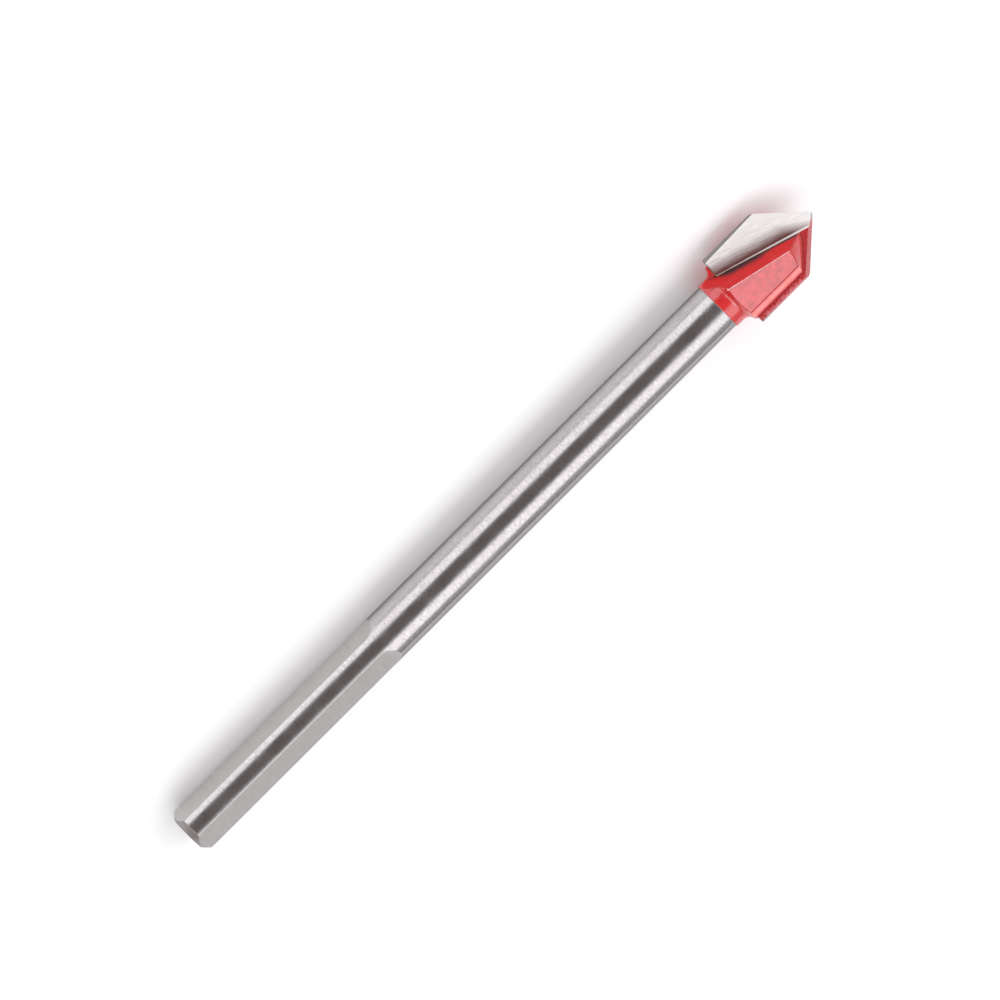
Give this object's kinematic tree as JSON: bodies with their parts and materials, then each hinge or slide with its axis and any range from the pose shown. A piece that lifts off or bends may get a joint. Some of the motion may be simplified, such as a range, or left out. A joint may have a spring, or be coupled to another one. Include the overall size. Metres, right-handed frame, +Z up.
{
  "type": "glass and tile drill bit",
  "caption": "Drill bit for glass and tile: a round steel shank with drive flats and a painted head that holds a flat spear point of ground carbide.",
  "frame": {"origin": "on the surface that the bit lies on, under the middle of its length", "axes": "+X along the bit towards its point, +Z up, +Y towards the side that shows a bare rake face from above"},
  "size_m": [0.1, 0.0092, 0.0074],
  "materials": {
    "shank_steel": "round-ground bright steel, with glossy red paint on the head and its collar",
    "tip_carbide": "ground carbide on the rake faces, glossy red paint on the back and the clearances",
    "braze_alloy": "thin seam of braze alloy"
  },
  "bodies": {
    "root": {"shank": "shank_steel", "carbide_tip": "tip_carbide", "braze_joint": "braze_alloy"}
  },
  "joints": []
}
